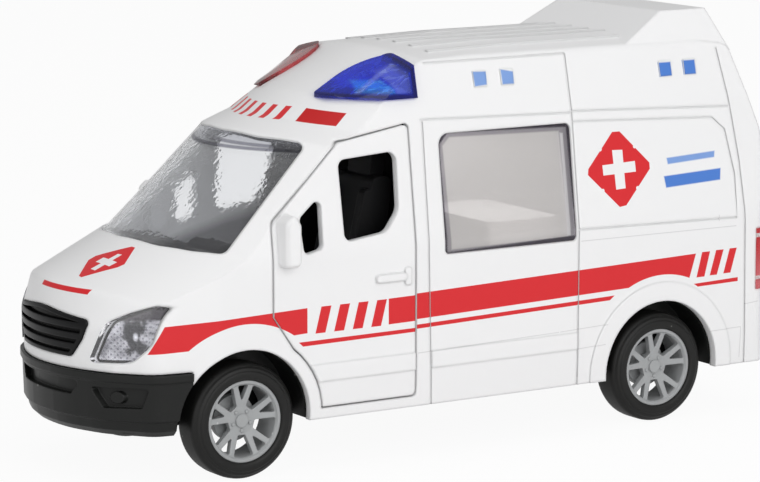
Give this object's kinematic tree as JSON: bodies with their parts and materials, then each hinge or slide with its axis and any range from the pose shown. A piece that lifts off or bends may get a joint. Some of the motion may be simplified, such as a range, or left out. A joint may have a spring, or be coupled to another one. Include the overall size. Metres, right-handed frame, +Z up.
{
  "type": "toy ambulance van",
  "caption": "High-roof toy ambulance van with hinged front doors, rolling axles, clear glazing, corner roof lamps, a stepped roof box and red side bands",
  "frame": {"origin": "on the ground under the middle of the toy's bounding box", "axes": "+X forward, +Y to the vehicle's left, +Z up"},
  "size_m": [0.1594, 0.0606, 0.0854],
  "materials": {
    "white_shell": "satin",
    "black_moulding": "satin",
    "grille_black": "satin",
    "clear_glazing": "polished",
    "headlamp_clear": "polished",
    "silver_reflector": "polished",
    "blue_lens": "polished",
    "red_lens": "polished",
    "tyre_black": "matte",
    "rim_grey": "satin",
    "axle_steel": "brushed",
    "cab_black": "matte",
    "box_white": "matte",
    "motor_plastic": "matte"
  },
  "bodies": {
    "body": {"body_shell": "white_shell", "cab_tub": "cab_black", "chassis": "black_moulding", "dashboard": "cab_black", "grille": "grille_black", "headlamp_lens_left": "headlamp_clear", "headlamp_lens_right": "headlamp_clear", "headlamp_reflector_left": "silver_reflector", "headlamp_reflector_right": "silver_reflector", "power_box": "box_white", "pull_back_motor": "motor_plastic", "rear_window_left": "clear_glazing", "rear_window_right": "clear_glazing", "roof_lamp_blue": "blue_lens", "roof_lamp_red": "red_lens", "seat_left": "cab_black", "seat_right": "cab_black", "side_window_left": "clear_glazing", "side_window_right": "clear_glazing", "steering_wheel": "cab_black", "tail_lamp_left": "red_lens", "tail_lamp_right": "red_lens", "windscreen": "clear_glazing"},
    "front_wheels": {"axle_front": "axle_steel", "rim_front_left": "rim_grey", "rim_front_right": "rim_grey", "tyre_front_left": "tyre_black", "tyre_front_right": "tyre_black"},
    "rear_wheels": {"axle_rear": "axle_steel", "rim_rear_left": "rim_grey", "rim_rear_right": "rim_grey", "tyre_rear_left": "tyre_black", "tyre_rear_right": "tyre_black"},
    "left_door": {"door_left": "white_shell"},
    "right_door": {"door_right": "white_shell"}
  },
  "joints": [
    {"name": "front_axle_spin", "type": "hinge", "parent": "body", "child": "front_wheels", "pos_m": [0.04845, 0, 0.0115], "axis": [0, 1, 0], "continuous": true},
    {"name": "rear_axle_spin", "type": "hinge", "parent": "body", "child": "rear_wheels", "pos_m": [-0.05155, 0, 0.0115], "axis": [0, 1, 0], "continuous": true},
    {"name": "left_door_hinge", "type": "hinge", "parent": "body", "child": "left_door", "pos_m": [0.04235, 0.0269, 0.013], "axis": [0, 0, -1], "range_deg": [0, 62]},
    {"name": "right_door_hinge", "type": "hinge", "parent": "body", "child": "right_door", "pos_m": [0.04235, -0.0269, 0.013], "axis": [0, 0, 1], "range_deg": [0, 62]}
  ]
}
